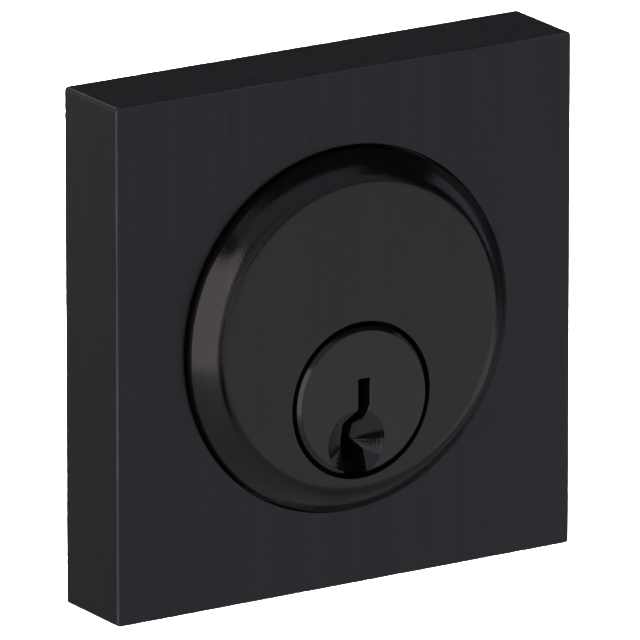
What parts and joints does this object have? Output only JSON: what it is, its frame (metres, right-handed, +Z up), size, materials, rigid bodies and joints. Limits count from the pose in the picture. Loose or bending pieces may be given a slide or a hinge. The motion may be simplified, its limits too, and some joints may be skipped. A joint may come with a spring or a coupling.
{
  "type": "deadbolt lock cylinder with square rose",
  "caption": "Keyed outside half of a deadbolt: square rose, round cylinder head and turning plug, with sprung pins and a flat tailpiece behind.",
  "frame": {"origin": "middle of the square rose, on the door's outside surface", "axes": "+Y into the door along the cylinder, +Z up, +X to the right seen from outside"},
  "size_m": [0.0508, 0.0483, 0.0508],
  "materials": {
    "black_finish": "satin black, finely brushed",
    "brass": "turned",
    "steel": "bright",
    "spring_steel": "drawn wire and strip",
    "zinc": "die-cast zinc"
  },
  "bodies": {
    "cylinder": {"rose": "black_finish", "locating_pin": "steel", "retaining_ring": "spring_steel", "centring_ring": "zinc", "cylinder_shell": "black_finish", "pin_spring_1": "spring_steel", "pin_spring_2": "spring_steel", "pin_spring_3": "spring_steel", "pin_spring_4": "spring_steel", "pin_spring_5": "spring_steel", "chamber_plug_1": "brass", "chamber_plug_2": "brass", "chamber_plug_3": "brass", "chamber_plug_4": "brass", "chamber_plug_5": "brass"},
    "plug_barrel": {"plug": "black_finish", "guard_pins": "steel", "plug_cap": "brass", "cap_pin_spring": "spring_steel"},
    "tail": {"tailpiece": "steel"},
    "cap_lock": {"cap_pin": "steel"},
    "key_pin_1": {"key_pin_1": "brass"},
    "driver_1": {"driver_pin_1": "steel"},
    "key_pin_2": {"key_pin_2": "brass"},
    "driver_2": {"driver_pin_2": "steel"},
    "key_pin_3": {"key_pin_3": "brass"},
    "driver_3": {"driver_pin_3": "steel"},
    "key_pin_4": {"key_pin_4": "brass"},
    "driver_4": {"driver_pin_4": "steel"},
    "key_pin_5": {"key_pin_5": "brass"},
    "driver_5": {"driver_pin_5": "steel"}
  },
  "joints": [
    {"name": "plug_turn", "type": "hinge", "parent": "cylinder", "child": "plug_barrel", "pos_m": [0, 0, -0.00633], "axis": [0, 1, 0], "range_deg": [-90, 90]},
    {"name": "tail_lost_motion", "type": "hinge", "parent": "plug_barrel", "child": "tail", "pos_m": [0, 0, -0.00633], "axis": [0, 1, 0], "range_deg": [0, 90]},
    {"name": "cap_pin_press", "type": "slide", "parent": "plug_barrel", "child": "cap_lock", "axis": [0, -1, 0], "range_m": [0, 0.0008], "stiffness_N_per_m": 300, "springref_m": -0.0012, "deforming": ["cap_pin_spring"]},
    {"name": "driver_lift_1", "type": "slide", "parent": "cylinder", "child": "driver_1", "axis": [0, 0, 1], "range_m": [0, 0.002], "stiffness_N_per_m": 150, "springref_m": -0.002, "deforming": ["pin_spring_1"]},
    {"name": "driver_lift_2", "type": "slide", "parent": "cylinder", "child": "driver_2", "axis": [0, 0, 1], "range_m": [0, 0.002], "stiffness_N_per_m": 150, "springref_m": -0.002, "deforming": ["pin_spring_2"]},
    {"name": "driver_lift_3", "type": "slide", "parent": "cylinder", "child": "driver_3", "axis": [0, 0, 1], "range_m": [0, 0.002], "stiffness_N_per_m": 150, "springref_m": -0.002, "deforming": ["pin_spring_3"]},
    {"name": "driver_lift_4", "type": "slide", "parent": "cylinder", "child": "driver_4", "axis": [0, 0, 1], "range_m": [0, 0.002], "stiffness_N_per_m": 150, "springref_m": -0.002, "deforming": ["pin_spring_4"]},
    {"name": "driver_lift_5", "type": "slide", "parent": "cylinder", "child": "driver_5", "axis": [0, 0, 1], "range_m": [0, 0.002], "stiffness_N_per_m": 150, "springref_m": -0.002, "deforming": ["pin_spring_5"]},
    {"name": "key_pin_fall_1", "type": "slide", "parent": "plug_barrel", "child": "key_pin_1", "axis": [0, 0, 1], "range_m": [-0.0021, 0]},
    {"name": "key_pin_fall_2", "type": "slide", "parent": "plug_barrel", "child": "key_pin_2", "axis": [0, 0, 1], "range_m": [-0.0012, 0]},
    {"name": "key_pin_fall_3", "type": "slide", "parent": "plug_barrel", "child": "key_pin_3", "axis": [0, 0, 1], "range_m": [-0.00255, 0]},
    {"name": "key_pin_fall_4", "type": "slide", "parent": "plug_barrel", "child": "key_pin_4", "axis": [0, 0, 1], "range_m": [-0.0015, 0]},
    {"name": "key_pin_fall_5", "type": "slide", "parent": "plug_barrel", "child": "key_pin_5", "axis": [0, 0, 1], "range_m": [-0.00225, 0]}
  ]
}
